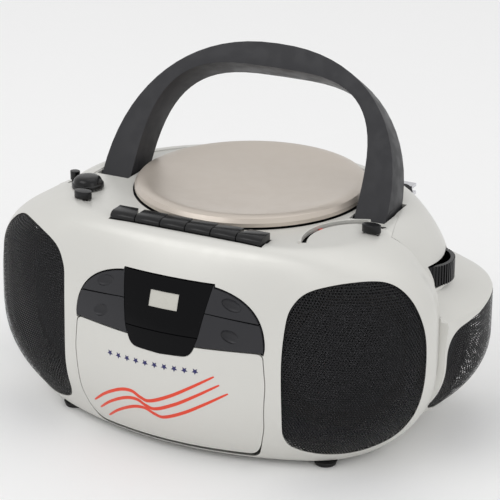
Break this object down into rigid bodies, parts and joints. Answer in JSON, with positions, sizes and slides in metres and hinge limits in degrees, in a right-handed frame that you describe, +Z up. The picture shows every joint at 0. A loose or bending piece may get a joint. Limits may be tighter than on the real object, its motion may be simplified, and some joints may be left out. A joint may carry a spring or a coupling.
{
  "type": "portable stereo",
  "caption": "Portable stereo with a cassette deck, top-loading disc player, radio, four speaker pods, piano keys, carrying handle and telescopic antenna.",
  "frame": {"origin": "on the table, under the middle of the case", "axes": "+X to the listener's right, -Y towards the listener (the front), +Z up"},
  "size_m": [0.3382, 0.2298, 0.2416],
  "materials": {
    "silver_case": "satin silver-painted plastic",
    "silver_lid": "satin silver-painted plastic, slightly warm",
    "grille_black": "black perforated steel",
    "black_plastic": "black plastic",
    "black_gloss": "glossy black plastic",
    "button_grey": "dark grey plastic, semi-gloss",
    "smoked_lens": "gloss black window",
    "handle_charcoal": "charcoal plastic, satin",
    "rubber_black": "black rubber",
    "steel": "plain steel",
    "chrome_tube": "polished chrome plate",
    "driver_steel": "grey pressed steel",
    "paper_cone": "black paper",
    "hub_plastic": "white plastic",
    "brass_wheel": "turned brass",
    "board_green": "green circuit board",
    "fibreboard": "dark fibreboard",
    "grey_plastic": "grey plastic",
    "lcd_glass": "pale liquid-crystal panel",
    "pointer_red": "red plastic"
  },
  "bodies": {
    "case": {"front_cabinet": "silver_case", "rear_cabinet": "silver_case", "battery_box": "black_plastic", "rubber_feet": "rubber_black", "case_screws": "steel", "front_grilles": "grille_black", "rear_grilles": "grille_black", "speaker_baffles": "fibreboard", "front_drivers": "driver_steel", "rear_drivers": "driver_steel", "speaker_cones": "paper_cone", "hinge_pins": "steel", "hinge_brackets": "black_plastic", "tape_chassis": "steel", "tape_motor": "steel", "button_bezel": "black_plastic", "display_lens": "smoked_lens", "lcd_module": "lcd_glass", "steel_rods": "steel", "deck_controls": "grey_plastic", "cd_well": "black_plastic", "cd_chassis": "grey_plastic", "main_board": "board_green", "power_transformer": "steel", "power_inlet": "black_plastic"},
    "handle": {"handle": "handle_charcoal"},
    "disc_lid": {"cd_lid": "silver_lid", "disc_clamp": "black_plastic"},
    "tape_door": {"cassette_door": "silver_case", "cassette_window": "smoked_lens", "cassette_holder": "black_plastic"},
    "key_record": {"key_record": "black_gloss"},
    "key_play": {"key_play": "black_gloss"},
    "key_rewind": {"key_rewind": "black_gloss"},
    "key_fast_forward": {"key_fast_forward": "black_gloss"},
    "key_stop_eject": {"key_stop_eject": "black_gloss"},
    "key_pause": {"key_pause": "black_gloss"},
    "upper_left_button": {"upper_left_button": "button_grey"},
    "upper_right_button": {"upper_right_button": "button_grey"},
    "lower_left_button": {"lower_left_button": "button_grey"},
    "lower_right_button": {"lower_right_button": "button_grey"},
    "volume_knob": {"volume_knob": "black_gloss"},
    "function_knob": {"function_knob": "black_gloss"},
    "tone_knob": {"tone_knob": "black_gloss"},
    "band_knob": {"band_knob": "black_gloss"},
    "tuning_wheel": {"tuning_wheel": "black_gloss"},
    "tuning_pointer": {"tuning_pointer": "pointer_red"},
    "disc_turntable": {"cd_turntable": "black_plastic"},
    "laser_pickup": {"laser_pickup": "black_plastic"},
    "supply_reel": {"supply_reel_hub": "hub_plastic"},
    "take_up_reel": {"take_up_reel_hub": "hub_plastic"},
    "flywheel": {"capstan_flywheel": "brass_wheel"},
    "pinch_roller": {"pinch_roller": "rubber_black"},
    "head_bridge": {"head_bridge": "steel"},
    "battery_door": {"battery_door": "silver_case"},
    "antenna_swivel": {"antenna_swivel": "chrome_tube"},
    "antenna_outer": {"antenna_tube_outer": "chrome_tube"},
    "antenna_middle": {"antenna_tube_middle": "chrome_tube"},
    "antenna_end": {"antenna_tip": "chrome_tube"}
  },
  "joints": [
    {"name": "handle_fold", "type": "hinge", "parent": "case", "child": "handle", "pos_m": [0, 0.007, 0.142], "axis": [1, 0, 0], "range_deg": [0, 38]},
    {"name": "disc_lid_hinge", "type": "hinge", "parent": "case", "child": "disc_lid", "pos_m": [0, 0.094, 0.1495], "axis": [-1, 0, 0], "range_deg": [0, 30]},
    {"name": "tape_door_hinge", "type": "hinge", "parent": "case", "child": "tape_door", "pos_m": [0, -0.09, 0.013], "axis": [1, 0, 0], "range_deg": [0, 18]},
    {"name": "key_record_press", "type": "hinge", "parent": "case", "child": "key_record", "pos_m": [-0.04625, -0.0615, 0.1425], "axis": [1, 0, 0], "range_deg": [0, 5], "stiffness_Nm_per_rad": 0.35, "springref_deg": -2.86},
    {"name": "key_play_press", "type": "hinge", "parent": "case", "child": "key_play", "pos_m": [-0.02775, -0.0615, 0.1425], "axis": [1, 0, 0], "range_deg": [0, 5], "stiffness_Nm_per_rad": 0.35, "springref_deg": -2.86},
    {"name": "key_rewind_press", "type": "hinge", "parent": "case", "child": "key_rewind", "pos_m": [-0.00925, -0.0615, 0.1425], "axis": [1, 0, 0], "range_deg": [0, 5], "stiffness_Nm_per_rad": 0.35, "springref_deg": -2.86},
    {"name": "key_fast_forward_press", "type": "hinge", "parent": "case", "child": "key_fast_forward", "pos_m": [0.00925, -0.0615, 0.1425], "axis": [1, 0, 0], "range_deg": [0, 5], "stiffness_Nm_per_rad": 0.35, "springref_deg": -2.86},
    {"name": "key_stop_eject_press", "type": "hinge", "parent": "case", "child": "key_stop_eject", "pos_m": [0.02775, -0.0615, 0.1425], "axis": [1, 0, 0], "range_deg": [0, 5], "stiffness_Nm_per_rad": 0.35, "springref_deg": -2.86},
    {"name": "key_pause_press", "type": "hinge", "parent": "case", "child": "key_pause", "pos_m": [0.04625, -0.0615, 0.1425], "axis": [1, 0, 0], "range_deg": [0, 5], "stiffness_Nm_per_rad": 0.35, "springref_deg": -2.86},
    {"name": "upper_left_button_press", "type": "slide", "parent": "case", "child": "upper_left_button", "axis": [0, 1, 0], "range_m": [0, 0.0015], "stiffness_N_per_m": 500, "springref_m": -0.001},
    {"name": "upper_right_button_press", "type": "slide", "parent": "case", "child": "upper_right_button", "axis": [0, 1, 0], "range_m": [0, 0.0015], "stiffness_N_per_m": 500, "springref_m": -0.001},
    {"name": "lower_left_button_press", "type": "slide", "parent": "case", "child": "lower_left_button", "axis": [0, 1, 0], "range_m": [0, 0.0015], "stiffness_N_per_m": 500, "springref_m": -0.001},
    {"name": "lower_right_button_press", "type": "slide", "parent": "case", "child": "lower_right_button", "axis": [0, 1, 0], "range_m": [0, 0.0015], "stiffness_N_per_m": 500, "springref_m": -0.001},
    {"name": "volume_turn", "type": "hinge", "parent": "case", "child": "volume_knob", "pos_m": [-0.099, -0.036, 0.151], "axis": [0, 0, -1], "range_deg": [0, 280]},
    {"name": "function_knob_slide", "type": "slide", "parent": "case", "child": "function_knob", "axis": [1, 0, 0], "range_m": [-0.0028, 0.0028]},
    {"name": "tone_knob_slide", "type": "slide", "parent": "case", "child": "tone_knob", "axis": [1, 0, 0], "range_m": [-0.0028, 0.0028]},
    {"name": "band_knob_slide", "type": "slide", "parent": "case", "child": "band_knob", "axis": [1, 0, 0], "range_m": [-0.0028, 0.0028]},
    {"name": "tuning_wheel_turn", "type": "hinge", "parent": "case", "child": "tuning_wheel", "pos_m": [0.127, 0.014, 0.117], "axis": [0, 0, 1], "range_deg": [-120, 120]},
    {"name": "tuning_pointer_swing", "type": "hinge", "parent": "case", "child": "tuning_pointer", "pos_m": [0.11, -0.046, 0.139], "axis": [0, 0, 1], "range_deg": [-38, 38]},
    {"name": "disc_spin", "type": "hinge", "parent": "case", "child": "disc_turntable", "pos_m": [0, 0.016, 0.138], "axis": [0, 0, 1], "continuous": true},
    {"name": "laser_travel", "type": "slide", "parent": "case", "child": "laser_pickup", "axis": [1, 0, 0], "range_m": [0, 0.022]},
    {"name": "supply_reel_spin", "type": "hinge", "parent": "case", "child": "supply_reel", "pos_m": [-0.02125, -0.079, 0.053], "axis": [0, 1, 0], "continuous": true},
    {"name": "take_up_reel_spin", "type": "hinge", "parent": "case", "child": "take_up_reel", "pos_m": [0.02125, -0.079, 0.053], "axis": [0, 1, 0], "continuous": true},
    {"name": "flywheel_spin", "type": "hinge", "parent": "case", "child": "flywheel", "pos_m": [0.03025, -0.079, 0.078], "axis": [0, 1, 0], "continuous": true},
    {"name": "pinch_roller_spin", "type": "hinge", "parent": "case", "child": "pinch_roller", "pos_m": [0.04325, -0.087, 0.089], "axis": [0, 1, 0], "continuous": true},
    {"name": "head_engage", "type": "slide", "parent": "case", "child": "head_bridge", "axis": [0, 0, -1], "range_m": [0, 0.006]},
    {"name": "battery_door_slide", "type": "slide", "parent": "case", "child": "battery_door", "axis": [0, 1, 0], "range_m": [0, 0.006]},
    {"name": "antenna_raise", "type": "hinge", "parent": "case", "child": "antenna_swivel", "pos_m": [0.077, 0.109, 0.131], "axis": [0, 1, 0], "range_deg": [0, 180]},
    {"name": "antenna_tilt", "type": "hinge", "parent": "antenna_swivel", "child": "antenna_outer", "pos_m": [0.077, 0.109, 0.131], "axis": [0, 0, -1], "range_deg": [0, 90]},
    {"name": "antenna_extend_one", "type": "slide", "parent": "antenna_outer", "child": "antenna_middle", "axis": [-1, 0, 0], "range_m": [0, 0.11]},
    {"name": "antenna_extend_two", "type": "slide", "parent": "antenna_middle", "child": "antenna_end", "axis": [-1, 0, 0], "range_m": [0, 0.11]}
  ],
  "couplings": [
    {"joint": "tuning_pointer_swing", "follows": "tuning_wheel_turn", "ratio": -0.3}
  ]
}
